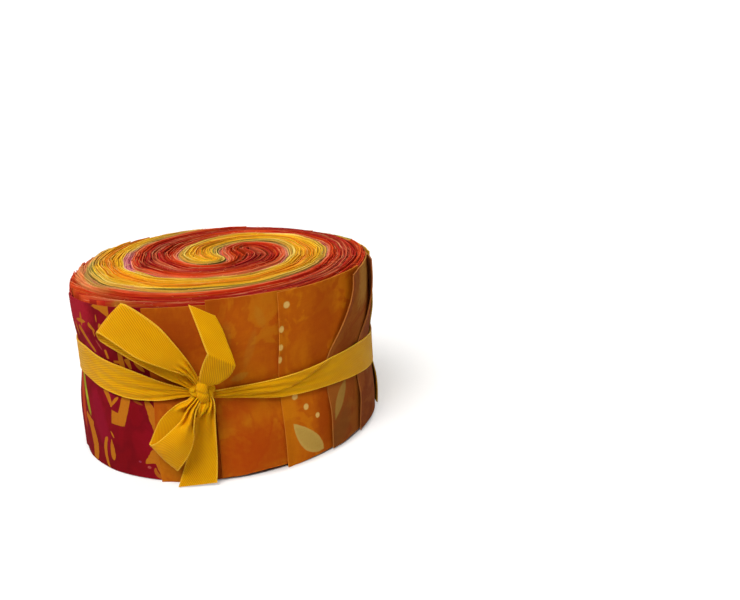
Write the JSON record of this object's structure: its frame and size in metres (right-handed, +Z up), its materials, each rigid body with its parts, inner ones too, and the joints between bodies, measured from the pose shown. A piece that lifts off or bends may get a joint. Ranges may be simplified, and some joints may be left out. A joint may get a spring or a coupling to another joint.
{
  "type": "batik fabric strip roll tied with a ribbon",
  "caption": "Wound roll of narrow batik cotton strips, tied round its middle with a golden ribbon in a small bow.",
  "frame": {"origin": "centre of the roll's flat underside", "axes": "+Z up along the roll's axis, -Y towards the bow, +X to the right seen from the bow's side"},
  "size_m": [0.1146, 0.1233, 0.0671],
  "materials": {
    "wound_strips": "Wound batik strips, seen as layered edges",
    "batik_crimson": "crimson cotton with orange wax-resist splashes",
    "batik_rust": "mottled rust cotton",
    "batik_orange": "mottled orange cotton",
    "batik_orange_leaf": "orange cotton with pale dots and leaves",
    "batik_amber_leaf": "brownish amber cotton with a pale olive leaf",
    "batik_amber": "brownish amber cotton",
    "batik_yellow": "mottled yellow cotton",
    "batik_olive": "olive cotton with lighter leaves",
    "batik_peach": "mottled peach cotton",
    "batik_honey": "mottled honey-coloured cotton",
    "batik_magenta": "mottled magenta-red cotton",
    "batik_pink": "mottled pink cotton",
    "batik_dotted": "orange cotton with pale dots",
    "batik_red": "mottled red cotton",
    "ribbon": "golden-yellow fine twill ribbon, soft sheen"
  },
  "bodies": {
    "root": {"wound_roll": "wound_strips", "strip_end_01": "batik_crimson", "strip_end_02": "batik_rust", "strip_end_03": "batik_orange", "strip_end_04": "batik_orange_leaf", "strip_end_05": "batik_amber_leaf", "strip_end_06": "batik_amber", "strip_end_07": "batik_yellow", "strip_end_08": "batik_olive", "strip_end_09": "batik_peach", "strip_end_10": "batik_honey", "strip_end_11": "batik_orange", "strip_end_12": "batik_magenta", "strip_end_13": "batik_pink", "strip_end_14": "batik_dotted", "strip_end_15": "batik_red", "ribbon_band": "ribbon", "ribbon_knot": "ribbon", "bow_loop_upper": "ribbon", "bow_loop_lower": "ribbon", "ribbon_tail_upper": "ribbon", "ribbon_tail_lower": "ribbon"}
  },
  "joints": []
}
